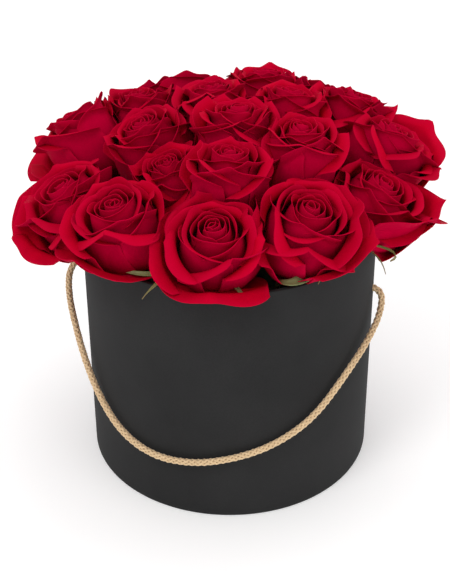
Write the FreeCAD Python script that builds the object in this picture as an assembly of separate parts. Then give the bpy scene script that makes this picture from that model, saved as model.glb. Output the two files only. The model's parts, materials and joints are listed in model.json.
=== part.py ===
import FreeCAD, Part
import math
import os

# Round hat box of wrapped board with a rope handle, filled with an arrangement of roses in wet foam.
# Millimetres, +Z up, origin at the centre of the underside; the rope holes lie on the X axis.

# --- box ---
BOX_R = 100.0  # outer radius over the paper wrap
BOX_H = 180.0
BOARD = 2.5  # grey board of the tube and of the base disc
PAPER = 0.3  # wrap, lining and base cover
TURN_IN = 15.0  # wrap folded over the rim and glued inside
TURN_UNDER_R = 82.0  # inner edge of the wrap folded under the base
BASE_COVER_R = 98.0
HOLE_Z = 136.0
HOLE_R = 3.2

# --- rope handle ---
ROPE_D = 5.0
KNOT_R = 6.2
KNOT_X = 90.0
CORNER_SHARE = 0.45  # share of the shorter run that each arc's tangent takes up
# The rope leaves the left hole, arches over and hangs in an uneven loop round the front of the wall.
ROPE_ROUTE = [
    (-91.8, 0.0, 134.9),
    (-107.0, -0.5, 137.2),
    (-116.0, -5.0, 126.0),
    (-114.5, -13.0, 109.0),
    (-105.0, -31.0, 98.0),
    (-93.0, -51.0, 84.0),
    (-77.0, -70.5, 66.0),
    (-56.5, -88.0, 51.5),
    (-31.5, -99.8, 45.5),
    (-4.0, -104.7, 47.5),
    (24.0, -101.8, 54.0),
    (50.0, -91.8, 62.5),
    (72.5, -75.4, 76.0),
    (89.0, -54.8, 97.0),
    (101.5, -30.0, 111.5),
    (107.5, -8.0, 122.0),
    (106.0, -0.5, 136.5),
    (91.5, 0.0, 135.8),
]

# --- arrangement ---
CLEAR = 0.3  # between pieces that move apart
LINER_R = 82.0
LINER_WALL = 1.0
LINER_Z0 = 3.4
LINER_TOP = 119.0
FOAM_R = 80.6
FOAM_TOP = 114.0
FOAM_SPLIT = 0.2  # half the saw cut between the two foam blocks
STEM_R = 2.5
STEM_CLEAR = 0.05
STEM_Z0 = 34.0
HIP_R = 5.5
HIP_LEN = 8.0
SEPAL_LEN = 17.0
SEPAL_W = 5.0
SEPAL_T = 0.7
SEPAL_DROOP = 22.0
SEPAL_SHOULDER = 0.45  # place of a sepal's shoulder along it
SEPAL_ROOT_R = 3.5
SEPAL_ROOT_Z = -0.6
SEPAL_TURN = 17.0
SEPALS = 5

# Each rose: centre of the top of the bloom (x, y, z), lean from upright, heading of the lean, bloom radius and
# length, and how far below the bloom its stem bends upright.
ROSES = [
    (5.0, 9.0, 258.0, 3.0, 60.0, 32.0, 54.0, 26.0),
    (7.5, -36.0, 249.0, 4.0, 95.0, 32.0, 53.0, 14.0),
    (47.0, 2.0, 252.0, 7.0, 40.0, 32.0, 53.0, 20.0),
    (33.0, 52.0, 253.0, 10.0, 58.0, 32.0, 53.0, 22.0),
    (-23.0, 54.0, 251.0, 12.0, 112.0, 32.0, 53.0, 24.0),
    (-62.0, 4.0, 243.0, 20.0, -160.0, 33.0, 53.0, 28.0),
    (-35.0, -31.0, 234.0, 18.0, -135.0, 30.0, 49.0, 22.0),
    (-104.0, -44.0, 216.0, 32.0, -158.0, 37.0, 54.0, 30.0),
    (-59.0, -73.0, 225.0, 18.0, -128.0, 35.0, 55.0, 30.0),
    (8.0, -85.0, 223.0, 22.0, -85.0, 35.0, 56.0, 26.0),
    (64.0, -58.0, 227.0, 20.0, -44.0, 36.0, 56.0, 28.0),
    (104.0, 4.0, 216.0, 28.0, 2.0, 36.0, 55.0, 36.0),
    (105.0, 53.0, 231.0, 30.0, 26.0, 35.0, 54.0, 36.0),
    (74.0, 78.0, 243.0, 22.0, 46.0, 34.0, 54.0, 34.0),
    (47.0, 111.0, 232.0, 33.0, 66.0, 35.0, 54.0, 28.0),
    (8.0, 108.0, 241.0, 18.0, 86.0, 34.0, 54.0, 48.0),
    (-65.0, 103.0, 229.0, 34.0, 122.0, 35.0, 54.0, 34.0),
    (-80.0, 55.0, 240.0, 18.0, 146.0, 33.0, 54.0, 30.0),
    (-116.0, 34.0, 232.0, 33.0, 164.0, 36.0, 54.0, 36.0),
]
HEAD_CENTRE = 0.7  # place of a bloom's middle along its length, for the borders between blooms
BLOOM_GAP = 0.15  # half the gap between two blooms
PRESS_REACH = 2.2  # blooms nearer than this many radii press on each other
# Half-profile of a bloom as shares of its radius and length: narrow foot, and a cup that opens up to its lip.
BLOOM_PROFILE = [
    (0.38, 0.10),
    (0.61, 0.26),
    (0.81, 0.47),
    (0.95, 0.69),
    (1.00, 0.86),
    (0.86, 0.97),
    (0.45, 1.00),
]


def V(x, y, z):
    return FreeCAD.Vector(x, y, z)


def save(shape, node):
    if not shape.isValid():
        raise ValueError(node + " isn't a valid solid")
    shape.exportStep("parts/" + node + ".step")


def revolved(points):
    """Solid of revolution about Z from a closed half-profile of (radius, z) corners."""
    corners = [V(r, 0, z) for r, z in points]
    face = Part.Face(Part.makePolygon(corners + corners[:1]))
    return face.revolve(V(0, 0, 0), V(0, 0, 1), 360)


def largest(shape):
    return max(shape.Solids, key=lambda solid: solid.Volume)


# --- box pieces ---


def handle_holes():
    """Both rope holes, as one drill along X that misses the middle of the box."""
    reach = 4 * BOARD
    drills = []
    for side in (-1, 1):
        start = V(side * (BOX_R - reach), 0, HOLE_Z)
        drills.append(Part.makeCylinder(HOLE_R, 2 * reach, start, V(side, 0, 0)))
    return drills[0].fuse(drills[1])


def box_pieces():
    tube_out = BOX_R - PAPER
    tube_in = tube_out - BOARD
    lining_in = tube_in - PAPER
    rim = BOX_H - PAPER
    holes = handle_holes()
    wrap = revolved(
        [
            (TURN_UNDER_R, PAPER),
            (BOX_R, PAPER),
            (BOX_R, BOX_H),
            (lining_in, BOX_H),
            (lining_in, BOX_H - TURN_IN),
            (tube_in, BOX_H - TURN_IN),
            (tube_in, rim),
            (tube_out, rim),
            (tube_out, 2 * PAPER),
            (TURN_UNDER_R, 2 * PAPER),
        ]
    )
    tube = revolved([(tube_in, 2 * PAPER), (tube_out, 2 * PAPER), (tube_out, rim), (tube_in, rim)])
    disc_top = 2 * PAPER + BOARD
    lining_top = BOX_H - TURN_IN
    lining = revolved([(lining_in, disc_top), (tube_in, disc_top), (tube_in, lining_top), (lining_in, lining_top)])
    return {
        "box_wrap": wrap.cut(holes),
        "box_tube": tube.cut(holes),
        "box_lining": lining.cut(holes),
        "base_disc": Part.makeCylinder(tube_in, BOARD, V(0, 0, 2 * PAPER)),
        "base_cover": Part.makeCylinder(BASE_COVER_R, PAPER),
    }


# --- rope handle ---


def rounded_path(points):
    """Straight runs joined by tangent arcs; returns the wire and the arcs' radii."""
    edges = []
    radii = []
    start = points[0]
    for before, corner, after in zip(points, points[1:], points[2:]):
        back = before - corner
        ahead = after - corner
        tangent = CORNER_SHARE * min(back.Length, ahead.Length)
        turn = math.pi - back.getAngle(ahead)
        back.normalize()
        ahead.normalize()
        radii.append(tangent / math.tan(turn / 2))
        inward = (back + ahead).normalize()
        middle = corner + inward * (radii[-1] * (1 / math.cos(turn / 2) - 1))
        enter = corner + back * tangent
        leave = corner + ahead * tangent
        edges.append(Part.LineSegment(start, enter).toShape())
        edges.append(Part.Arc(enter, middle, leave).toShape())
        start = leave
    edges.append(Part.LineSegment(start, points[-1]).toShape())
    return Part.Wire(edges), radii


def swept_tube(wire, radius):
    start = wire.Edges[0]
    direction = start.tangentAt(start.FirstParameter)
    section = Part.Wire(Part.makeCircle(radius, start.valueAt(start.FirstParameter), direction))
    return wire.makePipeShell([section], True, False)


def rope_pieces():
    points = [V(*p) for p in ROPE_ROUTE]
    wire, radii = rounded_path(points)
    tube = swept_tube(wire, ROPE_D / 2)
    expected = math.pi * (ROPE_D / 2) ** 2 * wire.Length
    runs = [(b - a).Length for a, b in zip(points, points[1:])]
    print("rope length %.1f mm" % wire.Length)
    print("rope runs " + " ".join("%.1f" % run for run in runs))
    print("rope radii " + " ".join("%.1f" % radius for radius in radii))
    print("rope volume %.1f against %.1f" % (tube.Volume, expected))
    pieces = {"rope_handle": tube}
    for name, side in (("knot_left", -1), ("knot_right", 1)):
        ball = Part.makeSphere(KNOT_R, V(side * KNOT_X, 0, HOLE_Z))
        pieces[name] = largest(ball.cut(tube))
    return pieces


# --- roses ---


class Rose:
    """Frame of one rose: foot of the bloom, its axis, and the upright part of the stem below it."""

    def __init__(self, index, row):
        x, y, z, lean, heading, self.radius, self.length, self.bend = row
        self.name = "rose_%02d" % index
        lean = math.radians(lean)
        heading = math.radians(heading)
        self.axis = V(math.sin(lean) * math.cos(heading), math.sin(lean) * math.sin(heading), math.cos(lean))
        self.top = V(x, y, z)
        self.foot = self.top - self.axis * self.length
        self.middle = self.foot + self.axis * (HEAD_CENTRE * self.length)
        self.hip_foot = self.foot - self.axis * HIP_LEN
        self.corner = self.hip_foot - self.axis * self.bend
        self.root = V(self.corner.x, self.corner.y, STEM_Z0)

    def placed(self, shape):
        """Moves a shape made about the origin, with its bloom up +Z, to this rose's foot."""
        frame = FreeCAD.Placement(self.foot, FreeCAD.Rotation(V(0, 0, 1), self.axis))
        shape.Placement = frame.multiply(shape.Placement)
        return shape


def full_bloom(rose):
    """Cup-shaped bloom before its neighbours press on it."""
    knots = [V(r * rose.radius, 0, z * rose.length) for r, z in BLOOM_PROFILE]
    foot = V(HIP_R, 0, 0)
    crown = V(0, 0, rose.length * 0.97)
    side = Part.BSplineCurve()
    side.interpolate([foot] + knots + [crown])
    edges = [
        side.toShape(),
        Part.makeLine(crown, V(0, 0, 0)),
        Part.makeLine(V(0, 0, 0), foot),
    ]
    solid = Part.Face(Part.Wire(edges)).revolve(V(0, 0, 0), V(0, 0, 1), 360)
    return rose.placed(solid)


def half_space(point, normal):
    """Block that stands in for everything beyond a plane."""
    size = 2 * BOX_R
    block = Part.makeBox(size, size, size, V(-size / 2, -size / 2, 0))
    block.Placement = FreeCAD.Placement(point, FreeCAD.Rotation(V(0, 0, 1), normal))
    return block


def rim_slot():
    """Room for the wall of the box, which the outer blooms hang over on both sides."""
    outer = Part.makeCylinder(BOX_R + 2 * CLEAR, BOX_H + 2 * CLEAR)
    inner = Part.makeCylinder(BOX_R - 2 * PAPER - BOARD - 2 * CLEAR, BOX_H + 2 * CLEAR)
    return outer.cut(inner)


def stem_wire(rose):
    """Upright run in the foam, one arc, and a run along the bloom's axis up to the hip."""
    return rounded_path([rose.root, rose.corner, rose.hip_foot])[0]


def sepal(rose, turn):
    """Thin pointed blade from the top of the hip, drooping outwards below the bloom."""
    shoulder = HIP_R + SEPAL_LEN * SEPAL_SHOULDER
    outline = [
        V(SEPAL_ROOT_R, -SEPAL_W / 2, 0),
        V(shoulder, -SEPAL_W * 0.38, 0),
        V(HIP_R + SEPAL_LEN, 0, 0),
        V(shoulder, SEPAL_W * 0.38, 0),
        V(SEPAL_ROOT_R, SEPAL_W / 2, 0),
    ]
    blade = Part.Face(Part.makePolygon(outline + outline[:1])).extrude(V(0, 0, SEPAL_T))
    blade.translate(V(0, 0, SEPAL_ROOT_Z - SEPAL_T))
    blade.rotate(V(SEPAL_ROOT_R, 0, SEPAL_ROOT_Z), V(0, 1, 0), SEPAL_DROOP)
    blade.rotate(V(0, 0, 0), V(0, 0, 1), turn)
    return rose.placed(blade)


def is_clear(blade, obstacles):
    for shape in obstacles:
        if blade.BoundBox.intersect(shape.BoundBox) and blade.common(shape).Volume > 0.001:
            return False
    return True


def stem(rose, obstacles):
    shape = swept_tube(stem_wire(rose), STEM_R)
    hip = Part.makeCone(STEM_R, HIP_R, HIP_LEN, V(0, 0, -HIP_LEN))
    shape = shape.fuse(rose.placed(hip))
    for i in range(SEPALS):
        blade = sepal(rose, 360.0 * i / SEPALS + SEPAL_TURN)
        if is_clear(blade, obstacles):
            shape = shape.fuse(blade)
    return shape.removeSplitter()


def bloom_pieces(roses):
    """Blooms cut back to the middle between neighbours, and clear of the rim."""
    slot = rim_slot()
    pieces = {}
    for rose in roses:
        shape = full_bloom(rose)
        for other in roses:
            gap = other.middle - rose.middle
            if other is rose or gap.Length > PRESS_REACH * max(rose.radius, other.radius):
                continue
            share = rose.radius / (rose.radius + other.radius)
            border = rose.middle + gap * share
            normal = FreeCAD.Vector(gap).normalize()
            shape = shape.cut(half_space(border - normal * BLOOM_GAP, normal))
        shape = largest(shape.cut(slot))
        pieces[rose.name + "_bloom"] = shape
    return pieces


def rose_pieces(roses):
    blooms = bloom_pieces(roses)
    clearance = {rose.name: swept_tube(stem_wire(rose), STEM_R + CLEAR) for rose in roses}
    slot = rim_slot()
    pieces = dict(blooms)
    for rose in roses:
        obstacles = [slot]
        for other in roses:
            if other is not rose:
                obstacles += [blooms[other.name + "_bloom"], clearance[other.name]]
        pieces[rose.name + "_stem"] = stem(rose, obstacles)
    return pieces


# --- liner and foam ---


def liner():
    outer = Part.makeCylinder(LINER_R, LINER_TOP - LINER_Z0, V(0, 0, LINER_Z0))
    hollow_z = LINER_Z0 + LINER_WALL
    hollow = Part.makeCylinder(LINER_R - LINER_WALL, LINER_TOP - hollow_z + 1, V(0, 0, hollow_z))
    return outer.cut(hollow)


def foam_half(side, roses):
    """D-shaped block of wet foam with a channel pressed by each stem."""
    z0 = LINER_Z0 + LINER_WALL
    block = Part.makeCylinder(FOAM_R, FOAM_TOP - z0, V(0, 0, z0))
    span = 2 * FOAM_R
    keep = Part.makeBox(span, span, span, V(FOAM_SPLIT if side > 0 else -FOAM_SPLIT - span, -FOAM_R, 0))
    block = block.common(keep)
    for rose in roses:
        channel = Part.makeCylinder(STEM_R + STEM_CLEAR, FOAM_TOP - STEM_Z0 + 5, rose.root)
        block = block.cut(channel)
    return largest(block)


def main():
    os.makedirs("parts", exist_ok=True)
    roses = [Rose(i + 1, row) for i, row in enumerate(ROSES)]
    pieces = box_pieces()
    pieces.update(rope_pieces())
    pieces.update(rose_pieces(roses))
    pieces["waterproof_liner"] = liner()
    pieces["foam_left"] = foam_half(-1, roses)
    pieces["foam_right"] = foam_half(1, roses)
    for node, shape in pieces.items():
        save(shape, node)


main()
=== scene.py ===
import json
import math

import bpy
import numpy as np
from mathutils import Matrix, Vector

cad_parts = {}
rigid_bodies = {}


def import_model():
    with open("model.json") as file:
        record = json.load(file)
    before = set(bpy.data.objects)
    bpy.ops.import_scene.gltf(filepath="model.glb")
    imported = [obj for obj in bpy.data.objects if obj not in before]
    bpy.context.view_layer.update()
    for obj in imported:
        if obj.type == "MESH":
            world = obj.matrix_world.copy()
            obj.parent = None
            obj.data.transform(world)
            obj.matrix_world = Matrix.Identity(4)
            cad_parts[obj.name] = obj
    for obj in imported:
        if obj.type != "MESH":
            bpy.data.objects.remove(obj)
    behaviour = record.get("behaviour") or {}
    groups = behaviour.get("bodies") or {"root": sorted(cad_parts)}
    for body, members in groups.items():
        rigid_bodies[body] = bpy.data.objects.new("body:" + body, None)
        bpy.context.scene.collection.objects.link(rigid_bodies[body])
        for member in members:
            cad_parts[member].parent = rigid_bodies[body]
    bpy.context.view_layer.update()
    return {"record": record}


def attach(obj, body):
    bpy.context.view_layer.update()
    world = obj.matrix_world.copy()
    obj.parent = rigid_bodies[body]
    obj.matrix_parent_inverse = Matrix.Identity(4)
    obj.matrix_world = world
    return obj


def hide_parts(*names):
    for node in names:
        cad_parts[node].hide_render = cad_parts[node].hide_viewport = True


# Hat box of roses. Lengths are in millimetres until a mesh is made; MM turns them into metres.

MM = 0.001
SEED = 7  # start of every random draw

# --- box and rope, as in the CAD model ---
BOX_R = 100.0
BOX_H = 180.0
BOARD = 2.5
PAPER = 0.3
TURN_IN = 15.0  # wrap folded over the rim
TURN_UNDER_R = 82.0  # inner edge of the wrap folded under the base
HOLE_Z = 136.0
HOLE_R = 3.2
EDGE_ROUND = 0.6
SEAM_LIFT = 0.8  # share of the paper's thickness by which the lap stands out
WRAP_SEGMENTS = 288
HOLE_SEGMENTS = 32
DRILL_HALF = 10.0  # reach of a hole's cutter on each side of the wall
SHARP_EDGE = math.radians(40)
SEAM_FROM = math.radians(97.0)  # lap of the wrap's ends, at the back
SEAM_STEP = math.radians(0.3)
SEAM_TO = math.radians(105.0)
LINER_R = 82.0
LINER_WALL = 1.0
LINER_Z0 = 3.4
LINER_TOP = 119.0
CREASE_DEPTH = 1.3
LIP_WAVE = 2.0  # unevenness of the liner's lip
LINER_SEGMENTS = 240
ROPE_D = 5.0
ROPE_LENGTH = 420.0
STRANDS = 8
STRAND_R = 0.86
BRAID_PITCH = 17.0  # length in which a strand goes once round the rope
BRAID_STEP = 0.55  # distance between a strand's points
WEAVE = 0.32  # how far a strand moves in and out
STRAND_CORNERS = 9
CORE_R = 1.2
CORE_CORNERS = 8
TUBE_TIP = 0.02  # radius to which the ends of a tube are drawn in
KNOT_X = 90.0
KNOT_SCALE = 1.2
KNOT_GAP = 0.35  # angle left open in the trefoil, where the rope's ends are
# Control points of the rope's middle line, from the left knot to the right one.
ROPE_ROUTE = [
    (-91.8, 0.0, 134.9),
    (-107.0, -0.5, 137.2),
    (-116.0, -5.0, 126.0),
    (-114.5, -13.0, 109.0),
    (-105.0, -31.0, 98.0),
    (-93.0, -51.0, 84.0),
    (-77.0, -70.5, 66.0),
    (-56.5, -88.0, 51.5),
    (-31.5, -99.8, 45.5),
    (-4.0, -104.7, 47.5),
    (24.0, -101.8, 54.0),
    (50.0, -91.8, 62.5),
    (72.5, -75.4, 76.0),
    (89.0, -54.8, 97.0),
    (101.5, -30.0, 111.5),
    (107.5, -8.0, 122.0),
    (106.0, -0.5, 136.5),
    (91.5, 0.0, 135.8),
]

# --- roses, as in the CAD model: top of the bloom, lean, heading, radius, length, bend of the stem ---
ROSES = [
    (5.0, 9.0, 258.0, 3.0, 60.0, 32.0, 54.0, 26.0),
    (7.5, -36.0, 249.0, 4.0, 95.0, 32.0, 53.0, 14.0),
    (47.0, 2.0, 252.0, 7.0, 40.0, 32.0, 53.0, 20.0),
    (33.0, 52.0, 253.0, 10.0, 58.0, 32.0, 53.0, 22.0),
    (-23.0, 54.0, 251.0, 12.0, 112.0, 32.0, 53.0, 24.0),
    (-62.0, 4.0, 243.0, 20.0, -160.0, 33.0, 53.0, 28.0),
    (-35.0, -31.0, 234.0, 18.0, -135.0, 30.0, 49.0, 22.0),
    (-104.0, -44.0, 216.0, 32.0, -158.0, 37.0, 54.0, 30.0),
    (-59.0, -73.0, 225.0, 18.0, -128.0, 35.0, 55.0, 30.0),
    (8.0, -85.0, 223.0, 22.0, -85.0, 35.0, 56.0, 26.0),
    (64.0, -58.0, 227.0, 20.0, -44.0, 36.0, 56.0, 28.0),
    (104.0, 4.0, 216.0, 28.0, 2.0, 36.0, 55.0, 36.0),
    (105.0, 53.0, 231.0, 30.0, 26.0, 35.0, 54.0, 36.0),
    (74.0, 78.0, 243.0, 22.0, 46.0, 34.0, 54.0, 34.0),
    (47.0, 111.0, 232.0, 33.0, 66.0, 35.0, 54.0, 28.0),
    (8.0, 108.0, 241.0, 18.0, 86.0, 34.0, 54.0, 48.0),
    (-65.0, 103.0, 229.0, 34.0, 122.0, 35.0, 54.0, 34.0),
    (-80.0, 55.0, 240.0, 18.0, 146.0, 33.0, 54.0, 30.0),
    (-116.0, 34.0, 232.0, 33.0, 164.0, 36.0, 54.0, 36.0),
]
HEAD_CENTRE = 0.7  # height of a bloom's widest part, as a share of its length
HIP_R = 5.5
HIP_LEN = 8.0
STEM_R = 2.5
STEM_Z0 = 34.0
STEM_CORNERS = 14
SEPALS = 5
RIM_INNER = BOX_R - BOARD - 2 * PAPER
RIM_EASE = 0.8  # softness of the bend over the rim
RIM_GAP = 1.0  # height of petals over the rim
INSIDE_GAP = 3.0
INSIDE_SLOPE = 1.7
OUTSIDE_GAP = 0.6
OUTSIDE_SLOPE = 1.5
RIM_BAND = (25.0, 30.0)  # how far the rim's effect goes, inwards and outwards
SEPAL_LENGTHS = (19, 27)
SEPAL_WIDTHS = (4.2, 5.6)
SEPAL_THICKNESS = 0.35
SEPAL_FOLD = 0.35  # rise of a sepal's sides over its middle, as a share of its half-width
# Sepals that show past the rim: owner, path as four Bezier points, width and twist.
RIM_SEPALS = [
    (9, [(-14, -72, 181), (-18, -83, 185), (-27, -104, 187), (-31, -114, 181)], 2.8, 2.0),
    (9, [(-20, -80, 181), (-27, -93, 185), (-38.5, -93, 185), (-51, -89, 184)], 3.4, 0.8),
    (10, [(20, -84, 180), (24, -98, 185), (30, -104, 184), (36, -105, 182)], 3.4, 0.5),
    (11, [(68, -62, 181), (64, -82, 186), (57, -88, 184), (47, -78, 182)], 8.0, 0.3),
    (11, [(76, -42, 182), (79, -56, 187), (75, -66, 185), (72, -76, 181)], 5.0, -1.2),
    (12, [(90, -16, 181), (102, -26, 185), (109, -26, 183), (119, -18, 182)], 1.9, 0.8),
    (12, [(90, -18, 180), (108, -34, 187), (122, -32, 183), (113, -40, 181)], 4.6, 1.4),
    (12, [(88, -20, 180), (103, -38, 185), (108, -44, 184), (111.5, -53, 179)], 2.0, 1.0),
]

# --- petals ---
PETALS = 25
GOLDEN_ANGLE = math.radians(137.5)
# From the bud's core (place 0) to the outermost whorl (place 1): the place, a petal's mid-line as four Bezier
# points (share of bloom radius, share of bloom length), and its half-width as a share of the bloom radius.
PETAL_KEYS = [
    (0.00, [(0.01, 0.15), (0.10, 0.25), (0.12, 0.80), (0.02, 0.985)], 0.30),
    (0.18, [(0.02, 0.08), (0.27, 0.16), (0.27, 0.75), (0.14, 1.00)], 0.46),
    (0.38, [(0.04, 0.05), (0.50, 0.10), (0.46, 0.70), (0.31, 1.01)], 0.68),
    (0.62, [(0.06, 0.04), (0.76, 0.10), (0.74, 0.60), (0.53, 1.01)], 0.90),
    (0.82, [(0.09, 0.03), (0.88, 0.08), (0.94, 0.55), (0.70, 1.00)], 1.04),
    (1.00, [(0.10, 0.03), (0.92, 0.06), (1.04, 0.45), (0.84, 0.97)], 1.10),
]
# An outermost petal that has come loose, and one that has fallen open.
LOOSE_LINE = [(0.10, 0.03), (0.90, 0.06), (1.02, 0.48), (1.08, 0.94)]
FALLEN_LINE = [(0.10, 0.03), (0.86, 0.04), (1.00, 0.42), (1.18, 0.62)]
# Where those petals are: for each rose, heading in degrees and how far the petal has gone from loose (0) to
# fallen (1). Below 0 it still stands.
OPEN_PETALS = {
    8: ((168, 0.1), (-150, 0.3)),
    9: ((-125, 0.6), (150, 0.2)),
    10: ((-84, 0.5), (-160, 0.3)),
    11: ((-160, 0.1), (-10, 0.2)),
    12: ((18, -0.4), (-28, -0.5)),
    13: ((54, -0.7), (0, 0.2)),
    15: ((60, 0.2),),
    17: ((125, 0.2),),
    19: ((-172, 0.8), (160, 0.2)),
}
# How far each rose has opened, in the order of ROSES.
OPENNESS = [0.6, 0.4, 0.6, 0.5, 0.6, 0.5, 0.3, 0.9, 0.8, 1.0]
OPENNESS += [0.9, 1.0, 0.8, 0.8, 0.6, 0.6, 0.7, 0.8, 1.0]
# Widest radius of an open bloom against height, both as shares.
CUP_HEIGHTS = [0.0, 0.1, 0.26, 0.47, 0.69, 0.86, 1.1]
CUP_RADII = [0.2, 0.44, 0.7, 0.9, 1.02, 1.12, 1.15]
CROWDING = 6.0  # higher presses blooms flatter against their neighbours
OVERLAP = 3.0  # how far petals reach past the border with a neighbour
NEIGHBOUR_REACH = 2.6  # in bloom radii: blooms further apart don't press each other
LEAST_ROOM = 2.0
FACING = 1e-3  # least share of a direction that counts as towards a neighbour
LOOSE_CURL = 0.55  # share of their roll that the lips of open petals keep
PETAL_EDGE = 0.32  # thickness of a petal at its tip
PETAL_FOOT = 0.5  # what its thickness gains towards the foot
PETAL_MIDDLE = 0.6  # share of that gain that is lost at the petal's sides
POINT_WIDTH = 0.16  # of the point at a petal's tip, as a share of its half-width
NICK_WAVES = 9.0
NICK_DEPTH = 0.02
FOOT_WIDTH = 0.25  # share of its full width that a petal has at its foot
CURL_LEAST = 4.2  # tightest radius of a petal about the bloom's axis
CURL_MOST = 2.9  # and the largest angle that it wraps to each side
PETAL_COLUMNS = 31
PETAL_ROWS = 31
SAMPLES = 80  # points along a petal's mid-line

# --- meshes and their data ---
TONES = "tone"  # four numbers for each point
SURFACE = "petal"  # UV map: across and along a petal, sepal, stem or strand
FULL_TURN = 6.283  # divides the angle of a tube's corner, for its UV
ANY_ANGLE = 6.28  # top of the range of a random angle


def smoothstep(x):
    """0 below 0, 1 above 1, and smooth between them."""
    x = np.clip(x, 0.0, 1.0)
    return x * x * (3.0 - 2.0 * x)


def eased(x, start, span):
    """0 up to the start, 1 past the span, and smooth between them."""
    return smoothstep((x - start) / span)


def unit(v):
    """A vector of length one."""
    v = np.asarray(v, float)
    return v / np.linalg.norm(v)


# --- meshes ---


class Soup:
    """Points, quads and per-point numbers that are gathered from many small surfaces into one mesh."""

    def __init__(self, channels=0):
        self.points = []
        self.quads = []
        self.flat = []
        self.tones = []
        self.uvs = []
        self.channels = channels
        self.count = 0

    def add(self, points, quads, tones=None, uvs=None, flat=None):
        self.points.append(points)
        self.quads.append(quads + self.count)
        self.flat.append(np.zeros(len(quads), bool) if flat is None else flat)
        if self.channels:
            self.tones.append(tones)
            self.uvs.append(uvs)
        self.count += len(points)

    def mesh(self, name):
        points = np.concatenate(self.points) * MM
        quads = np.concatenate(self.quads)
        flat = np.concatenate(self.flat)
        mesh = bpy.data.meshes.new(name)
        mesh.vertices.add(len(points))
        mesh.vertices.foreach_set("co", points.ravel())
        mesh.loops.add(quads.size)
        mesh.loops.foreach_set("vertex_index", quads.ravel().astype(np.int32))
        mesh.polygons.add(len(quads))
        mesh.polygons.foreach_set("loop_start", np.arange(0, quads.size, 4, dtype=np.int32))
        mesh.polygons.foreach_set("use_smooth", ~flat)
        mesh.update(calc_edges=True)
        if self.channels:
            tones = np.concatenate(self.tones)
            layer = mesh.attributes.new(TONES, "FLOAT_COLOR", "POINT")
            layer.data.foreach_set("color", tones.ravel().astype(np.float32))
            uv = mesh.uv_layers.new(name=SURFACE)
            uvs = np.concatenate(self.uvs)[quads.ravel()]
            uv.data.foreach_set("uv", uvs.ravel().astype(np.float32))
        return mesh


def add_object(mesh, material):
    """Object for a mesh, named after it, with a material if one is given."""
    obj = bpy.data.objects.new(mesh.name, mesh)
    bpy.context.scene.collection.objects.link(obj)
    if material:
        mesh.materials.clear()
        mesh.materials.append(material)
    return obj


def stand_in(mesh, material, node, body):
    """Detailed piece that takes a CAD node's place on its body."""
    piece = add_object(mesh, material)
    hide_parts(node)
    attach(piece, body)
    return piece


def grid_quads(rows, columns, closed=False):
    """Quads of a grid of points, row by row; closed joins the last column to the first."""
    index = np.arange(rows * columns).reshape(rows, columns)
    if closed:
        index = np.concatenate([index, index[:, :1]], axis=1)
    return np.stack([index[:-1, :-1], index[:-1, 1:], index[1:, 1:], index[1:, :-1]], axis=-1).reshape(-1, 4)


def ring_caps(last, size, flip):
    """Quads across the first ring of a grid and the last one, which starts at the given point.

    They close a ring with an even number of points, and leave one triangle open in the others.
    """
    caps = []
    for base, order in ((0, flip), (last, -flip)):
        for k in range(size // 2 - 1):
            caps.append([base + k, base + k + 1, base + size - 2 - k, base + size - 1 - k][::order])
    return np.array(caps)


def grid_normals(grid):
    """Unit normals of a grid of points, from its central differences."""
    down = np.gradient(grid, axis=0)
    across = np.gradient(grid, axis=1)
    normals = np.cross(across, down)
    return normals / np.maximum(np.linalg.norm(normals, axis=-1, keepdims=True), 1e-9)


def border(rows, columns):
    """Indices round the edge of a grid, in order."""
    index = np.arange(rows * columns).reshape(rows, columns)
    return np.concatenate([index[0, :-1], index[:-1, -1], index[-1, :0:-1], index[:0:-1, 0]])


def shell(grid, thickness):
    """Closed sheet of varying thickness: points, quads and which quads are the thin rim."""
    rows, columns = grid.shape[:2]
    half = grid_normals(grid) * (thickness[..., None] / 2)
    front = (grid + half).reshape(-1, 3)
    back = (grid - half).reshape(-1, 3)
    quads = grid_quads(rows, columns)
    edge = border(rows, columns)
    after = np.roll(edge, -1)
    size = rows * columns
    rim = np.stack([edge, edge + size, after + size, after], axis=-1)
    points = np.concatenate([front, back])
    faces = np.concatenate([quads, quads[:, ::-1] + size, rim])
    flat = np.zeros(len(faces), bool)
    flat[-len(rim) :] = True
    return points, faces, flat


def sheet_tones(first, tint, last=0.0):
    """Tones of a closed sheet: one that varies, which side is the front, a tint, and one more that varies."""
    front = np.ones(first.shape)
    tones = np.zeros((2 * first.size, 4))
    tones[:, 0] = np.tile(first.ravel(), 2)
    tones[:, 1] = np.concatenate([front.ravel(), 0 * front.ravel()])
    tones[:, 2] = tint
    tones[:, 3] = np.tile((last * front).ravel(), 2)
    return tones


def sheet_uvs(across, along):
    """UVs of a closed sheet, the same on both sides. across runs from -1 to 1 and along from 0 to 1."""
    return np.stack([np.tile(across.ravel() * 0.5 + 0.5, 2), np.tile(along.ravel(), 2)], axis=-1)


# --- petals and blooms ---


def bezier(points, steps):
    """Points along the cubic curve of four control points."""
    t = np.linspace(0, 1, steps)[:, None]
    a, b, c, d = [np.asarray(p, float) for p in points]
    return (1 - t) ** 3 * a + 3 * (1 - t) ** 2 * t * b + 3 * (1 - t) * t**2 * c + t**3 * d


def petal_key(place):
    """Mid-line and half-width for a petal at a place between the core and the outermost whorl."""
    places = [key[0] for key in PETAL_KEYS]
    lines = np.array([key[1] for key in PETAL_KEYS])
    line = np.array([[np.interp(place, places, lines[:, i, j]) for j in (0, 1)] for i in range(4)])
    return line, np.interp(place, places, [key[2] for key in PETAL_KEYS])


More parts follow.
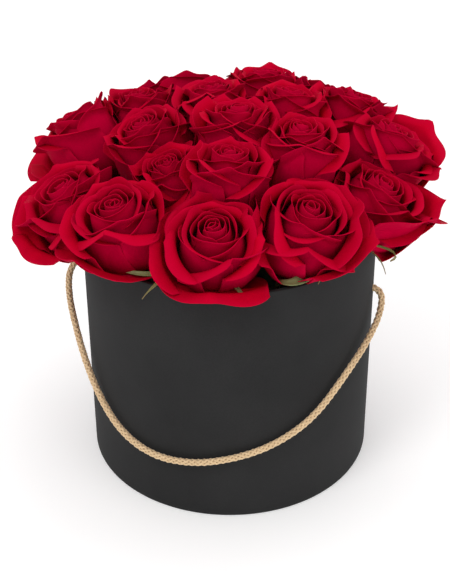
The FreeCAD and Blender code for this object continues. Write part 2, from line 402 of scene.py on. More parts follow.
def roll_back(x, s, length, roll):
    """Rolls both upper sides of a flat petal outwards about slanting folds that meet near its tip."""
    lift = np.zeros_like(x)
    dx = np.zeros_like(x)
    ds = np.zeros_like(x)
    for side, strength in ((-1, roll["left"]), (1, roll["right"])):
        nx = side * math.sin(roll["slant"])
        ns = math.cos(roll["slant"])
        beyond = x * nx + s * ns - (length * ns - roll["inset"])
        beyond = np.maximum(beyond, 0)
        angle = np.minimum(beyond / roll["radius"], roll["most"] * strength)
        straight = beyond - angle * roll["radius"]
        along = roll["radius"] * np.sin(angle) + straight * np.cos(angle)
        share = 0.5 * (1 + side * np.tanh(x / 4.0))
        lift += share * (roll["radius"] * (1 - np.cos(angle)) + straight * np.sin(angle))
        dx += share * (along - beyond) * nx
        ds += share * (along - beyond) * ns
    return x + dx, s + ds, lift


def petal_places():
    """Points of a petal: u from side to side and v from foot to tip, closer together towards its edges."""
    even = np.linspace(-1, 1, PETAL_COLUMNS)
    u = np.sin(even * math.pi / 2) * 0.35 + even * 0.65
    v = 1 - (1 - np.linspace(0, 1, PETAL_ROWS)) ** 1.35
    v, u = np.meshgrid(v, u, indexing="ij")
    return u, v


def petal_outline(u, v, half_width, length, petal):
    """A petal laid flat: each point's distance from its middle line and its distance up that line."""
    top = 1 - petal["round"] * np.abs(u) ** 3 + petal["point"] * np.exp(-((u / POINT_WIDTH) ** 2))
    top += petal["nick"] * np.sin(u * NICK_WAVES + petal["phase"]) * NICK_DEPTH
    width = FOOT_WIDTH + (1 - FOOT_WIDTH) * np.sin(np.minimum(v / 0.6, 1) * math.pi / 2) ** 1.1
    width *= 1 - 0.1 * eased(v, 0.62, 0.38)
    return u * width * half_width, v * length * top


def petal_sheet(line, half_width, petal):
    """Grid of one petal about +Z, facing +X, with the u, v and nearness to the rim of its points."""
    u, v = petal_places()
    curve = bezier(line, SAMPLES)
    steps = np.linalg.norm(np.diff(curve, axis=0), axis=1)
    reach = np.concatenate([[0], np.cumsum(steps)])
    length = reach[-1]
    lean = np.arctan2(np.gradient(curve[:, 0], reach), np.gradient(curve[:, 1], reach))

    x, s = petal_outline(u, v, half_width, length, petal)
    x, s, lift = roll_back(x, s, length, petal["roll"])

    over = np.maximum(s - length, 0)
    radius = np.interp(s, reach, curve[:, 0]) + over * math.sin(lean[-1])
    height = np.interp(s, reach, curve[:, 1]) + over * math.cos(lean[-1])
    tilt = np.interp(s, reach, lean)
    grown = smoothstep(s / (0.4 * length))
    radius = radius + petal["spiral"] * u * grown
    wave = np.sin(u * petal["waves"] + petal["phase"])
    wave = wave + 0.6 * np.sin(v * 7.0 + u * 3.1 + 2.0 * petal["phase"])
    rim = np.maximum(eased(np.abs(u), 0.55, 0.45), eased(v, 0.7, 0.3))
    lift = lift + petal["ruffle"] * wave * (0.15 + 0.85 * rim) * grown
    lift = lift - petal["cup"] * np.sin(np.minimum(v, 1) * math.pi) * (1 - u * u)
    curl = np.maximum(petal["flatness"] * radius, CURL_LEAST)
    angle = np.clip(x / curl, -CURL_MOST, CURL_MOST)
    out = np.cos(tilt)
    grid = np.stack(
        [
            radius - curl + (curl + lift * out) * np.cos(angle),
            (curl + lift * out) * np.sin(angle),
            height - lift * np.sin(tilt),
        ],
        axis=-1,
    )
    return grid, u, v, rim


def petal_traits(place, openness, rng):
    """How one petal curls, from its place in the bloom and chance. Lengths are in millimetres.

    lip grows as petals leave the tight core, and outer as they reach the open whorls.
    """
    lip = eased(place, 0.22, 0.35)
    outer = eased(place, 0.42, 0.45)
    roll = {
        "slant": math.radians(6 + 6 * lip + 6 * outer + rng.uniform(-6, 12) * lip),
        "inset": 0.5 + 1.8 * lip + 4.5 * outer * rng.uniform(0.5, 1.4),
        "radius": 0.9 + 1.0 * lip + 1.6 * outer * rng.uniform(0.6, 1.5),
        "most": math.radians(16 + 40 * lip + (40 + 34 * openness) * outer),
        "left": rng.uniform(0.35, 1.1),
        "right": rng.uniform(0.35, 1.1),
    }
    return {
        "roll": roll,
        "round": 0.12 + 0.05 * outer * rng.uniform(0.2, 1.2),
        "point": 0.06 * outer * rng.uniform(0.2, 1.3),
        "nick": rng.uniform(0, 1) ** 2,
        "phase": rng.uniform(0, ANY_ANGLE),
        "waves": rng.uniform(3.0, 6.0),
        "ruffle": 0.2 + 1.0 * outer * rng.uniform(0.4, 1.4),
        "cup": 0.3 + 0.9 * outer,
        "spiral": 1.4 - 0.5 * outer,
        "flatness": 1.0 + 0.3 * outer * rng.uniform(0.2, 1.3),
    }


def turned(points, angle):
    """Points turned about +Z."""
    c, s = math.cos(angle), math.sin(angle)
    matrix = np.array([[c, -s, 0], [s, c, 0], [0, 0, 1]])
    return points @ matrix.T


class Rose:
    """Place and axis of one rose, as in the CAD model."""

    def __init__(self, index, row):
        x, y, z, lean, heading, self.radius, self.length, self.bend = row
        self.name = "rose_%02d" % index
        self.index = index
        lean, heading = math.radians(lean), math.radians(heading)
        away = math.sin(lean)
        self.axis = np.array([away * math.cos(heading), away * math.sin(heading), math.cos(lean)])
        self.top = np.array([x, y, z])
        self.foot = self.top - self.axis * self.length
        self.middle = self.foot + self.axis * (HEAD_CENTRE * self.length)
        side = unit(np.cross([0.0, 0.0, 1.0], self.axis) + [1e-6, 0, 0])
        self.frame = np.stack([np.cross(side, self.axis), side, self.axis], axis=1)

    def placed(self, points):
        return points @ self.frame.T + self.foot


def pressed(points, rose, roses):
    """Squeezes a bloom towards its axis where neighbours leave less room than its own open radius."""
    height = (points - rose.foot) @ rose.axis
    centre = rose.foot + height[:, None] * rose.axis
    out = points - centre
    reach = np.maximum(np.linalg.norm(out, axis=1), 1e-6)
    full = rose.radius * np.interp(height / rose.length, CUP_HEIGHTS, CUP_RADII)
    crowd = np.zeros(len(points))
    for other in roses:
        gap = other.middle - rose.middle
        distance = np.linalg.norm(gap)
        if other is rose or distance > NEIGHBOUR_REACH * max(rose.radius, other.radius):
            continue
        normal = gap / distance
        border = distance * rose.radius / (rose.radius + other.radius) + OVERLAP
        toward = (out / reach[:, None]) @ normal
        room = (border - (centre - rose.middle) @ normal) / np.maximum(toward, FACING)
        crowd += np.where(toward > FACING, full / np.maximum(room, LEAST_ROOM), 0.0) ** CROWDING
    squeeze = (1 + crowd) ** (-1 / CROWDING)
    return centre + out * squeeze[:, None]


def over_rim(points):
    """Drapes petals and sepals over the rim of the box, clear of the wall on both sides."""
    radius = np.hypot(points[:, 0], points[:, 1])
    inside = np.maximum(RIM_INNER - INSIDE_GAP - radius, 0)
    outside = np.maximum(radius - BOX_R - OUTSIDE_GAP, 0)
    floor = BOX_H + RIM_GAP - INSIDE_SLOPE * inside - OUTSIDE_SLOPE * outside
    draped = points.copy()
    draped[:, 2] = floor + np.logaddexp(0, (points[:, 2] - floor) / RIM_EASE) * RIM_EASE
    near = (radius > RIM_INNER - RIM_BAND[0]) & (radius < BOX_R + RIM_BAND[1])
    draped[~near] = points[~near]
    return draped


def open_petals(rose):
    """Numbers of a rose's open petals, each with its heading about the bloom and its mid-line."""
    found = {}
    for k, (degrees, fall) in enumerate(OPEN_PETALS.get(rose.index, ())):
        angle = math.radians(degrees)
        way = np.array([math.cos(angle), math.sin(angle), 0.0])
        heading = math.atan2(way @ rose.frame[:, 1], way @ rose.frame[:, 0])
        line = (1 - fall) * np.array(LOOSE_LINE) + fall * np.array(FALLEN_LINE)
        found[PETALS - 1 - k] = heading, line
    return found


def bloom_mesh(rose, roses, openness):
    """Petals of one rose, from the core outwards, each turned on from the last by the golden angle."""
    rng = np.random.default_rng(SEED * 1000 + rose.index)
    soup = Soup(channels=4)
    start = rng.uniform(0, ANY_ANGLE)
    loose = open_petals(rose)
    for i in range(PETALS):
        place = (i / (PETALS - 1)) ** 0.85
        line, half_width = petal_key(place)
        heading = start + i * GOLDEN_ANGLE + rng.uniform(-0.15, 0.15)
        if i in loose:
            heading, line = loose[i]
        line[2:, 0] *= 0.86 + 0.14 * openness
        line = line * [rose.radius, rose.length]
        line[1:, 0] *= rng.uniform(0.97, 1.03)
        line[2:, 1] *= rng.uniform(0.95, 1.02)
        petal = petal_traits(place, openness, rng)
        if i in loose:
            petal["roll"]["most"] *= LOOSE_CURL
        half_width *= rose.radius
        grid, u, v, rim = petal_sheet(line, half_width * rng.uniform(0.92, 1.06), petal)
        grid = turned(grid, heading)
        thickness = PETAL_EDGE + PETAL_FOOT * (1 - v) * (1 - PETAL_MIDDLE * np.abs(u))
        points, faces, flat = shell(grid, thickness)
        points = over_rim(pressed(rose.placed(points), rose, roses))
        # rim carries the painted highlight along the petal edges, and v the painted shade towards each
        # petal's foot.
        tones = sheet_tones(rim, rng.uniform(0, 1), v)
        soup.add(points, faces, tones, sheet_uvs(u, v), flat)
    return soup.mesh(rose.name + "_petals")


# --- stems and sepals ---


def stem_line(rose):
    """Line up the foam, round one bend and along the bloom's axis into its foot."""
    hip_foot = rose.foot - rose.axis * HIP_LEN
    corner = hip_foot - rose.axis * rose.bend
    root = np.array([corner[0], corner[1], STEM_Z0])
    ease = 0.45 * min(rose.bend, corner[2] - STEM_Z0)
    enter = corner - [0, 0, ease]
    leave = corner + rose.axis * ease
    bend = bezier([enter, enter + (corner - enter) * 0.6, leave + (corner - leave) * 0.6, leave], 14)
    straight = np.linspace(root, enter, 24)[:-1]
    upper = np.linspace(leave, rose.foot + rose.axis * 4.0, 30)[1:]
    return np.concatenate([straight, bend, upper])


def blade(points, width, twist, rows=15, columns=5):
    """Narrow pointed leaf along a line, folded along its middle and turning as it goes, with its places."""
    line, _ = even_line(points, 0.5)
    line = line[np.linspace(0, len(line) - 1, rows).astype(int)]
    ahead = np.gradient(line, axis=0)
    ahead /= np.linalg.norm(ahead, axis=1, keepdims=True)
    side = np.cross(ahead, [0.0, 0.0, 1.0])
    side /= np.maximum(np.linalg.norm(side, axis=1, keepdims=True), 1e-6)
    up = np.cross(side, ahead)
    t = np.linspace(0, 1, rows)
    u = np.linspace(-1, 1, columns)
    turn = twist * t
    across = np.cos(turn)[:, None] * side + np.sin(turn)[:, None] * up
    lift = np.cross(across, ahead)
    spread = width / 2 * np.sin(np.pi * (0.18 + 0.80 * t)) ** 0.8 + 0.15
    grid = line[:, None] + across[:, None] * (u[None, :, None] * spread[:, None, None])
    grid += lift[:, None] * (np.abs(u)[None, :, None] * spread[:, None, None] * SEPAL_FOLD)
    u, t = np.meshgrid(u, t)
    return grid, t, u


def add_blade(soup, points, width, twist, tint):
    """One sepal, draped over the rim where it reaches it."""
    grid, along, across = blade(points, width, twist)
    skin, faces, flat = shell(grid, np.full(grid.shape[:2], SEPAL_THICKNESS))
    soup.add(over_rim(skin), faces, sheet_tones(along, tint), sheet_uvs(across, along), flat)


def round_uvs(corners, along):
    """UVs of a tube: share of a turn, and the given number for each of its rings."""
    across = np.tile(corners / FULL_TURN, len(along))
    return np.stack([across, np.repeat(along, len(corners))], axis=-1)


def stem_mesh(rose):
    """Stem with its hip and sepals, and the sepals that this rose hangs past the rim."""
    rng = np.random.default_rng(SEED * 2000 + rose.index)
    soup = Soup(channels=4)
    line = stem_line(rose)
    below = (line - rose.foot) @ rose.axis
    swell = smoothstep((below + HIP_LEN) / (HIP_LEN - 1.5)) * (below > -HIP_LEN - 1)
    radius = STEM_R + (HIP_R - STEM_R) * swell - 2.5 * smoothstep(below / 4.0)
    radius *= 1 + 0.03 * np.sin(np.arange(len(line)) * 1.7 + rose.index)
    points, quads, corners = tube(line, radius, STEM_CORNERS)
    tones = np.zeros((len(points), 4))
    tones[:, 2] = rng.uniform(0, 1)
    soup.add(points, quads, tones, round_uvs(corners, np.linspace(0, 1, len(line))))
    for k in range(SEPALS):
        heading = 2 * math.pi * k / SEPALS + rng.uniform(-0.2, 0.2)
        length = rng.uniform(*SEPAL_LENGTHS)
        droop = rng.uniform(-0.55, 0.05)
        curl = rng.uniform(-0.5, 0.6)
        out = np.array([math.cos(heading), math.sin(heading), 0.0])
        up = np.array([0.0, 0.0, 1.0])
        way = [
            out * (HIP_R - 2.0) - up * 0.8,
            out * (HIP_R + 0.30 * length) + up * (0.12 * droop * length - 1.0),
            out * (HIP_R + 0.62 * length) + up * (0.55 * droop * length - 1.0),
            out * (HIP_R + 0.88 * length) + up * ((droop + curl * 0.6) * length - 1.0),
        ]
        path = rose.placed(bezier(way, 24))
        add_blade(soup, path, rng.uniform(*SEPAL_WIDTHS), rng.uniform(-1.0, 1.0), rng.uniform(0, 1))
    for owner, way, width, twist in RIM_SEPALS:
        if owner == rose.index:
            add_blade(soup, bezier(way, 24), width, twist, rng.uniform(0, 1))
    return soup.mesh(rose.name + "_stalk")


# --- materials ---


class Nodes:
    """Short hand for building a node material."""

    def __init__(self, name):
        self.material = bpy.data.materials.new(name)
        self.material.use_nodes = True
        self.tree = self.material.node_tree
        self.shader = self.tree.nodes["Principled BSDF"]

    def add(self, kind, **settings):
        node = self.tree.nodes.new(kind)
        for key, value in settings.items():
            setattr(node, key, value)
        return node

    def link(self, source, target):
        self.tree.links.new(source, target)

    def set(self, **values):
        for key, value in values.items():
            self.shader.inputs[key.replace("_", " ")].default_value = value

    def noise(self, vector, scale, detail, roughness):
        node = self.add("ShaderNodeTexNoise")
        node.inputs["Scale"].default_value = scale
        node.inputs["Detail"].default_value = detail
        node.inputs["Roughness"].default_value = roughness
        self.link(vector, node.inputs["Vector"])
        return node.outputs["Fac"]

    def ramp(self, value, stops):
        node = self.add("ShaderNodeValToRGB")
        elements = node.color_ramp.elements
        while len(elements) < len(stops):
            elements.new(0.5)
        for element, (place, colour) in zip(elements, stops):
            element.position = place
            element.color = (*colour, 1.0)
        self.link(value, node.inputs["Fac"])
        return node.outputs["Color"]

    def mix(self, amount, a, b, blend="MIX"):
        node = self.add("ShaderNodeMix", data_type="RGBA", blend_type=blend)
        for socket, value in ((node.inputs["Factor"], amount), (node.inputs["A"], a), (node.inputs["B"], b)):
            if isinstance(value, bpy.types.NodeSocket):
                self.link(value, socket)
            elif isinstance(value, tuple):
                socket.default_value = (*value, 1.0)
            else:
                socket.default_value = value
        return node.outputs["Result"]

    def math(self, operation, a, b, clamp=False):
        node = self.add("ShaderNodeMath", operation=operation, use_clamp=clamp)
        for socket, value in zip(node.inputs, (a, b)):
            if isinstance(value, bpy.types.NodeSocket):
                self.link(value, socket)
            else:
                socket.default_value = value
        return node.outputs[0]

    def bump(self, height, strength, distance):
        """Fine relief. The distance is in metres."""
        node = self.add("ShaderNodeBump")
        node.inputs["Strength"].default_value = strength
        node.inputs["Distance"].default_value = distance
        self.link(height, node.inputs["Height"])
        self.link(node.outputs["Normal"], self.shader.inputs["Normal"])

    def place(self):
        return self.add("ShaderNodeTexCoord").outputs["Object"]

    def tones(self):
        """The four numbers of the mesh's points."""
        tone = self.add("ShaderNodeAttribute", attribute_name=TONES)
        parts = self.add("ShaderNodeSeparateColor")
        self.link(tone.outputs["Color"], parts.inputs["Color"])
        return (*parts.outputs, tone.outputs["Alpha"])

    def streaks(self, across, along, detail, roughness):
        """Noise that is drawn out along the mesh's own surface."""
        stretch = self.add("ShaderNodeMapping")
        stretch.inputs["Scale"].default_value = (across, along, 1.0)
        self.link(self.add("ShaderNodeUVMap", uv_map=SURFACE).outputs["UV"], stretch.inputs["Vector"])
        return self.noise(stretch.outputs["Vector"], 1.0, detail, roughness)


def petal_material():
    m = Nodes("rose_petal")
    rim, back, tint, height = m.tones()
    inside = m.mix(tint, (0.52, 0.000, 0.017), (0.44, 0.000, 0.019))
    outside = m.mix(tint, (0.52, 0.000, 0.034), (0.43, 0.000, 0.028))
    colour = m.mix(back, inside, outside)
    mottled = m.noise(m.place(), 90.0, 4.0, 0.6)
    colour = m.mix(0.3, colour, m.ramp(mottled, [(0.3, (0.55, 0.5, 0.5)), (0.7, (1, 1, 1))]), "MULTIPLY")
    # Painted shade: the petals darken towards their foot, deep inside the bloom.
    foot = m.math("SUBTRACT", 1.0, m.math("MULTIPLY", height, 2.0), clamp=True)
    colour = m.mix(m.math("MULTIPLY", foot, 0.7), colour, (0.10, 0.001, 0.004))
    # Painted highlight: a lighter, pinker colour along the petal's edges, where its rim number is near one.
    edge = m.math("MULTIPLY", m.math("POWER", rim, 9.0), 0.4)
    colour = m.mix(edge, colour, (0.54, 0.002, 0.035))
    m.link(colour, m.shader.inputs["Base Color"])
    veins = m.streaks(46.0, 3.0, 3.0, 0.6)
    m.bump(veins, 0.2, 0.0006)
    m.set(Roughness=0.7, Specular_IOR_Level=0.025, Specular_Tint=(1.0, 0.05, 0.12, 1.0))
    return m.material


def plain_material(name, colour, other, scale, roughness, bump=0.0):
    """Matte material whose colour wanders between two values."""
    m = Nodes(name)
    grain = m.noise(m.place(), scale, 5.0, 0.6)
    m.link(m.ramp(grain, [(0.3, colour), (0.7, other)]), m.shader.inputs["Base Color"])
    m.set(Roughness=roughness)
    if bump:
        m.bump(grain, 0.4, bump)
    return m.material


def wrap_material():
    m = Nodes("wrap_paper")
    at = m.place()
    cloud = m.noise(at, 14.0, 4.0, 0.6)
    fibre = m.noise(at, 900.0, 2.0, 0.6)
    colour = m.ramp(cloud, [(0.35, (0.010, 0.010, 0.0104)), (0.65, (0.015, 0.015, 0.0154))])
    speck = m.ramp(fibre, [(0.3, (0.75, 0.75, 0.75)), (0.75, (1.25, 1.25, 1.25))])
    colour = m.mix(0.6, colour, speck, "MULTIPLY")
    m.link(colour, m.shader.inputs["Base Color"])
    m.bump(fibre, 0.35, 0.00012)
    m.set(Roughness=0.85, Specular_IOR_Level=0.3)
    return m.material


def liner_material():
    m = Nodes("liner_plastic")
    at = m.place()
    haze = m.noise(at, 40.0, 4.0, 0.6)
    colour = m.ramp(haze, [(0.3, (0.010, 0.010, 0.011)), (0.7, (0.022, 0.022, 0.024))])
    roughness = m.ramp(haze, [(0.3, (0.28, 0.28, 0.28)), (0.7, (0.45, 0.45, 0.45))])
    m.link(colour, m.shader.inputs["Base Color"])
    m.link(roughness, m.shader.inputs["Roughness"])
    m.bump(m.noise(at, 160.0, 2.0, 0.5), 0.4, 0.0008)
    return m.material


def green_material():
    m = Nodes("sepal_green")
    along, back, tint, _ = m.tones()
    face = m.mix(tint, (0.10, 0.16, 0.03), (0.20, 0.22, 0.06))
    under = m.mix(tint, (0.26, 0.34, 0.17), (0.30, 0.33, 0.12))
    colour = m.mix(m.math("MULTIPLY", back, 0.6), face, under)
    colour = m.mix(m.math("MULTIPLY", m.math("POWER", along, 4.0), 0.7), colour, (0.22, 0.10, 0.04))
    grain = m.noise(m.place(), 420.0, 3.0, 0.6)
    colour = m.mix(0.5, colour, m.ramp(grain, [(0.3, (0.6, 0.6, 0.55)), (0.7, (1.1, 1.1, 1.0))]), "MULTIPLY")
    m.link(colour, m.shader.inputs["Base Color"])
    m.bump(grain, 0.3, 0.0003)
    m.set(Roughness=0.55)
    return m.material


def rope_material():
    m = Nodes("jute")
    depth, yarn, _, _ = m.tones()
    fibre = m.streaks(10.0, ROPE_LENGTH, 4.0, 0.65)
    straws = [(0.25, (0.42, 0.27, 0.13)), (0.5, (0.72, 0.51, 0.29)), (0.75, (0.88, 0.70, 0.45))]
    colour = m.ramp(fibre, straws)
    colour = m.mix(m.math("MULTIPLY", yarn, 0.35), colour, (0.62, 0.43, 0.23))
    # Painted shade: strand surfaces near the rope's core, down between the strands, are darkened.
    colour = m.mix(m.math("SUBTRACT", 1.0, depth, clamp=True), colour, (0.14, 0.07, 0.03))
    m.link(colour, m.shader.inputs["Base Color"])
    m.bump(fibre, 0.5, 0.0003)
    m.set(Roughness=0.85, Sheen_Weight=0.3)
    return m.material


# --- rope ---


def route_line(name, route):
    """Points along the smooth line that a route's control points give."""
    curve = bpy.data.curves.new(name, "CURVE")
    curve.dimensions = "3D"
    spline = curve.splines.new("NURBS")
    spline.points.add(len(route) - 1)
    for point, place in zip(spline.points, route):
        point.co = (*[c * MM for c in place], 1.0)
    spline.order_u = 3
    spline.use_endpoint_u = True
    spline.resolution_u = 32
    obj = bpy.data.objects.new(name, curve)
    bpy.context.scene.collection.objects.link(obj)
    line = bpy.data.meshes.new_from_object(obj)
    points = np.array([v.co[:] for v in line.vertices]) / MM
    bpy.data.objects.remove(obj)
    bpy.data.meshes.remove(line)
    return points


def even_line(points, step):
    """A line with its points about one step apart, and their distances along it."""
    reach = np.concatenate([[0], np.cumsum(np.linalg.norm(np.diff(points, axis=0), axis=1))])
    places = np.linspace(0, reach[-1], max(int(reach[-1] / step), 2) + 1)
    return np.stack([np.interp(places, reach, points[:, i]) for i in range(3)], axis=-1), places


def carried_frame(points):
    """Two side directions carried along a line without twisting."""
    ahead = np.gradient(points, axis=0)
    ahead /= np.linalg.norm(ahead, axis=1, keepdims=True)
    side = unit(np.cross(ahead[0], [0.0, 0.3, 1.0]))
    sides = []
    for direction in ahead:
        side = unit(side - direction * (side @ direction))
        sides.append(side)
    sides = np.array(sides)
    return sides, np.cross(ahead, sides)


def tube(points, radius, corners):
    """Tube round a line, drawn in to a point at each end: points, quads and the angles of its corners."""
    sides, ups = carried_frame(points)
    angle = np.linspace(0, 2 * math.pi, corners, endpoint=False)
    radius = np.broadcast_to(radius, len(points)).copy()
    radius[0] = radius[-1] = TUBE_TIP
    ring = np.cos(angle)[None, :, None] * sides[:, None] + np.sin(angle)[None, :, None] * ups[:, None]
    grid = points[:, None] + ring * radius[:, None, None]
    quads = grid_quads(len(points), corners, closed=True)
    caps = ring_caps((len(points) - 1) * corners, corners, 1)
    return grid.reshape(-1, 3), np.concatenate([quads[:, ::-1], caps]), angle


def braid_soup(points, seed):
    """Round braid of strands that cross over and under each other along a line."""
    rng = np.random.default_rng(seed)
    line, places = even_line(points, BRAID_STEP)
    sides, ups = carried_frame(line)
    soup = Soup(channels=4)
    middle = ROPE_D / 2 - STRAND_R - WEAVE
    for k in range(STRANDS):
        way = 1 if k % 2 else -1
        phase = 2 * math.pi * (k // 2) / (STRANDS // 2) + (0.0 if way > 0 else math.pi / STRANDS)
        angle = way * 2 * math.pi * places / BRAID_PITCH + phase
        weave = way * np.cos(STRANDS / 2 * 2 * math.pi * places / BRAID_PITCH)
        out = middle + WEAVE * weave + 0.05 * np.sin(places / 3.0 + k)
        strand = line + (np.cos(angle)[:, None] * sides + np.sin(angle)[:, None] * ups) * out[:, None]
        radius = STRAND_R * (1 + 0.06 * np.sin(places / 5.0 + 2 * k))
        skin, quads, corners = tube(strand, radius, STRAND_CORNERS)
        reach = np.linalg.norm(skin.reshape(-1, len(corners), 3) - line[:, None], axis=-1)
        tones = np.zeros((len(skin), 4))
        # Painted shade: the part of each strand that faces the rope's core is marked for a darker colour in
        # the material.
        tones[:, 0] = eased(reach.ravel(), 1.0, 1.1)
        tones[:, 1] = rng.uniform(0, 1)
        soup.add(skin, quads, tones, round_uvs(corners, places / ROPE_LENGTH))
    # Painted shade: the core gets no outward tone, so the material colours it all dark, as shade inside the
    # braid.
    core, quads, _ = tube(line, CORE_R, CORE_CORNERS)
    soup.add(core, quads, np.zeros((len(core), 4)), np.zeros((len(core), 2)))
    return soup


def make_rope():
    """The rope and its knots, which swing together on the handle body."""
    jute = rope_material()
    line = route_line("rope_route", ROPE_ROUTE)
    rope = stand_in(braid_soup(line, SEED).mesh("rope_braid"), jute, "rope_handle", "handle")
    knots = make_knots(jute)


def knot_line(side):
    """Tight overhand knot at the end of the rope, just inside the wall, on one side of the box."""
    t = np.linspace(KNOT_GAP, 2 * math.pi - KNOT_GAP, 120)
    loop = np.stack([np.sin(t) + 2 * np.sin(2 * t), np.cos(t) - 2 * np.cos(2 * t), -np.sin(3 * t)], axis=-1)
    return loop * KNOT_SCALE + [side * KNOT_X, 0.0, HOLE_Z]


def make_knots(jute):
    knots = []
    for name, side in (("knot_left", -1), ("knot_right", 1)):
        mesh = braid_soup(knot_line(side), SEED + 2 + side).mesh(name + "_braid")
        knots.append(stand_in(mesh, jute, name, "handle"))
    return knots


# --- box and liner ---


def lathe(profile, segments, closed, shape=None):
    """Turned surface: points and quads. An open profile gets a flat cap at each end. shape can bend it."""
    angle = np.linspace(0, 2 * math.pi, segments, endpoint=False)
    profile = np.asarray(profile, float)
    radius = np.broadcast_to(profile[:, 0, None], (len(profile), segments))
    height = np.broadcast_to(profile[:, 1, None], radius.shape)
    if shape:
        radius, height = shape(radius, height, angle[None, :])
    grid = np.stack([radius * np.cos(angle), radius * np.sin(angle), height], axis=-1)
    if closed:
        grid = np.concatenate([grid, grid[:1]])
    quads = grid_quads(len(grid), segments, closed=True)
    if closed:
        quads = quads % (len(profile) * segments)
        return grid[:-1].reshape(-1, 3), quads
    caps = ring_caps((len(grid) - 1) * segments, segments, -1)
    return grid.reshape(-1, 3), np.concatenate([quads, caps])


def arc(centre, radius, start, end, steps=5):
    """Points of an arc in a half-profile, in degrees from the outward direction."""
    turn = np.radians(np.linspace(start, end, steps))
    return [(centre[0] + radius * math.cos(t), centre[1] + radius * math.sin(t)) for t in turn]


def wrap_mesh():
    """Paper wrap with softly rounded rim and foot, a lapped seam at the back and both rope holes."""
    inner = RIM_INNER
    glued = inner + PAPER
    rim = BOX_H - PAPER
    round_out = arc((BOX_R - EDGE_ROUND, BOX_H - EDGE_ROUND), EDGE_ROUND, 0, 90)
    round_in = arc((inner + EDGE_ROUND, BOX_H - EDGE_ROUND), EDGE_ROUND, 90, 180)
    foot = arc((BOX_R - EDGE_ROUND, PAPER + EDGE_ROUND), EDGE_ROUND, -90, 0)
    wall = [(BOX_R, z) for z in np.linspace(PAPER + 2.0, BOX_H - 2.0, 40)]
    profile = [(TURN_UNDER_R, PAPER)] + foot + wall + round_out + round_in
    profile += [(inner, BOX_H - TURN_IN), (glued, BOX_H - TURN_IN), (glued, rim), (BOX_R - PAPER, rim)]
    profile += [(BOX_R - PAPER, 2 * PAPER), (TURN_UNDER_R, 2 * PAPER)]

    def lapped(radius, height, angle):
        lap = smoothstep((angle - SEAM_FROM) / SEAM_STEP) * (angle < SEAM_TO)
        outer_face = (radius > BOX_R - 0.01) * (height < BOX_H - 3.0)
        return radius + PAPER * SEAM_LIFT * lap * outer_face, height

    points, quads = lathe(profile, WRAP_SEGMENTS, closed=True, shape=lapped)
    soup = Soup()
    soup.add(points, quads)
    wrap = add_object(soup.mesh("wrap_uncut"), None)
    wrap.data.polygons.foreach_set("use_smooth", np.zeros(len(quads), bool))
    for side in (-1, 1):
        drill = Soup()
        sides = [(HOLE_R, -DRILL_HALF), (HOLE_R, DRILL_HALF)]
        drill.add(*lathe(sides, HOLE_SEGMENTS, closed=False))
        cutter = add_object(drill.mesh("drill"), None)
        at = Matrix.Translation((side * BOX_R * MM, 0, HOLE_Z * MM))
        cutter.matrix_world = at @ Matrix.Rotation(math.pi / 2, 4, "Y")
        hole = wrap.modifiers.new("hole", "BOOLEAN")
        hole.object = cutter
        hole.operation = "DIFFERENCE"
    bpy.context.view_layer.update()
    graph = bpy.context.evaluated_depsgraph_get()
    mesh = bpy.data.meshes.new_from_object(wrap.evaluated_get(graph))
    mesh.name = "wrap_paper"
    for helper in [wrap] + [m.object for m in wrap.modifiers]:
        bpy.data.objects.remove(helper)
    mesh.shade_smooth()
    mesh.set_sharp_from_angle(angle=SHARP_EDGE)
    return mesh


def liner_mesh():
    """Thin plastic liner, creased where it was pressed round the foam, with an uneven lip."""
    foot = [(LINER_R - 0.8, LINER_Z0)]
    wall = [(LINER_R, z) for z in np.linspace(LINER_Z0 + 1.5, LINER_TOP, 30)]
    back = [(LINER_R - LINER_WALL, z) for z in np.linspace(LINER_TOP, LINER_Z0 + LINER_WALL, 24)]

    def creased(radius, height, angle):
        up = smoothstep((height - LINER_Z0 - 4.0) / 40.0) * (radius > LINER_R - LINER_WALL - 0.1)
        fold = np.abs(np.sin(9 * angle + 1.3 * np.sin(4 * angle))) ** 3
        fold = fold + 0.5 * np.abs(np.sin(23 * angle + height * 0.05)) ** 4
        near_lip = smoothstep((height - LINER_TOP + 20.0) / 20.0)
        lip = LIP_WAVE * np.sin(5 * angle) * near_lip - LIP_WAVE * up
        return radius + CREASE_DEPTH * up * fold, height + np.minimum(lip, 0)

    soup = Soup()
    soup.add(*lathe(foot + wall + back, LINER_SEGMENTS, closed=False, shape=creased))
    return soup.mesh("liner_film")


# --- camera, floor and light ---

# Angles are in degrees, the rest in millimetres.
CAMERA_TURN = 12.0
CAMERA_RISE = 32.42
CAMERA_ROLL = -0.39
CAMERA_DISTANCE = 928.9
CAMERA_TARGET = (-3.2, -0.7, 121.5)
CAMERA_LENS = 82.57
CAMERA_SENSOR = 36.0
# The studio is in metres. Of each light: name, place, size and power in watts.
LIGHTS = [
    ("key", (-0.4, -0.9, 1.5), 0.55, 6.0),
    ("fill", (1.3, -0.7, 0.8), 1.2, 3.0),
    ("top", (0.1, 0.5, 1.6), 1.0, 3.5),
]
LIGHT_AIM = (0.0, 0.0, 0.16)
FLOOR_HALF = 4.0
FLOOR_GLOW = 0.15
WORLD_STRENGTH = 0.86
WHITE = (1.0, 1.0, 1.0, 1.0)


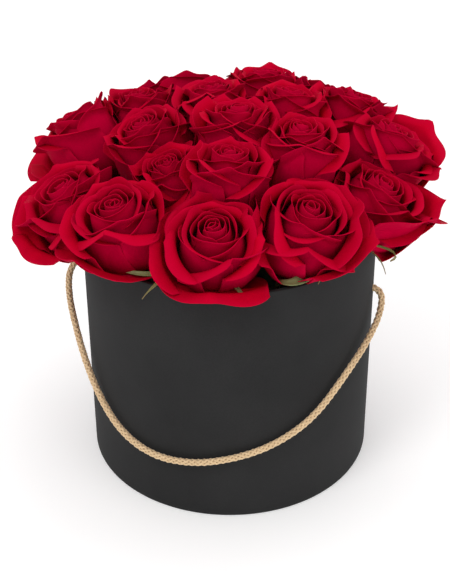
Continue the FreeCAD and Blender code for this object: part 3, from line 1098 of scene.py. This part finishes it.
def make_camera():
    """Camera that looks from the front right and above, slightly rolled."""
    turn, rise, roll = (math.radians(a) for a in (CAMERA_TURN, CAMERA_RISE, CAMERA_ROLL))
    back = Vector((math.sin(turn) * math.cos(rise), -math.cos(turn) * math.cos(rise), math.sin(rise)))
    right = Vector((math.cos(turn), math.sin(turn), 0.0))
    up = back.cross(right)
    tilted_right = right * math.cos(roll) + up * math.sin(roll)
    tilted_up = up * math.cos(roll) - right * math.sin(roll)
    data = bpy.data.cameras.new("camera")
    data.lens = CAMERA_LENS
    data.sensor_width = CAMERA_SENSOR
    data.clip_start = 0.01
    camera = bpy.data.objects.new("camera", data)
    place = Vector(CAMERA_TARGET) * MM + back * (CAMERA_DISTANCE * MM)
    axes = Matrix((tilted_right, tilted_up, back)).transposed()
    camera.matrix_world = Matrix.Translation(place) @ axes.to_4x4()
    bpy.context.scene.collection.objects.link(camera)
    bpy.context.scene.camera = camera


def area_light(name, place, size, power):
    """Round light that faces the bouquet."""
    data = bpy.data.lights.new(name, "AREA")
    data.shape = "DISK"
    data.size = size
    data.energy = power
    light = bpy.data.objects.new(name, data)
    light.location = place
    light.rotation_euler = (Vector(LIGHT_AIM) - Vector(place)).to_track_quat("-Z", "Y").to_euler()
    bpy.context.scene.collection.objects.link(light)


def make_studio():
    """White floor, white surroundings and three soft lights."""
    mesh = bpy.data.meshes.new("floor")
    corners = [(x * FLOOR_HALF, y * FLOOR_HALF, 0) for x, y in ((-1, -1), (1, -1), (1, 1), (-1, 1))]
    mesh.from_pydata(corners, [], [(0, 1, 2, 3)])
    paper = plain_material("floor_paper", (0.93, 0.93, 0.93), (0.95, 0.95, 0.95), 3.0, 0.9)
    shader = paper.node_tree.nodes["Principled BSDF"]
    shader.inputs["Emission Color"].default_value = WHITE
    shader.inputs["Emission Strength"].default_value = FLOOR_GLOW
    floor = add_object(mesh, paper)
    world = bpy.data.worlds.new("studio")
    world.use_nodes = True
    background = world.node_tree.nodes["Background"]
    background.inputs["Color"].default_value = WHITE
    background.inputs["Strength"].default_value = WORLD_STRENGTH
    bpy.context.scene.world = world
    bpy.context.scene.view_settings.view_transform = "Standard"
    for light in LIGHTS:
        area_light(*light)


# --- the whole scene ---


def make_roses():
    roses = [Rose(i + 1, row) for i, row in enumerate(ROSES)]
    petals = petal_material()
    green = green_material()
    for rose, openness in zip(roses, OPENNESS):
        bloom = bloom_mesh(rose, roses, openness)
        stand_in(bloom, petals, rose.name + "_bloom", "arrangement")
        stand_in(stem_mesh(rose), green, rose.name + "_stem", "arrangement")


def dress_cad(subparts, looks):
    """Gives a look to the CAD meshes that are seen as they are."""
    for part in subparts:
        look = looks.get(part["material_slot"])
        if look:
            for held in bpy.data.objects[part["node"]].material_slots:
                held.material = look


def main():
    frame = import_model()
    make_camera()
    make_rope()
    make_studio()
    make_roses()
    paper = wrap_material()
    stand_in(wrap_mesh(), paper, "box_wrap", "box")
    stand_in(liner_mesh(), liner_material(), "waterproof_liner", "arrangement")
    dark, darker = (0.02, 0.02, 0.02), (0.012, 0.012, 0.012)
    looks = {
        "black_wrap": paper,
        "grey_board": plain_material("board", (0.36, 0.34, 0.31), (0.44, 0.42, 0.38), 300.0, 0.9, 0.0001),
        "black_lining": plain_material("lining", darker, dark, 200.0, 0.85, 0.0001),
        "wet_foam": plain_material("foam", (0.02, 0.07, 0.025), (0.035, 0.10, 0.04), 700.0, 0.75, 0.0004),
    }
    dress_cad(frame["record"]["subparts"], looks)


main()
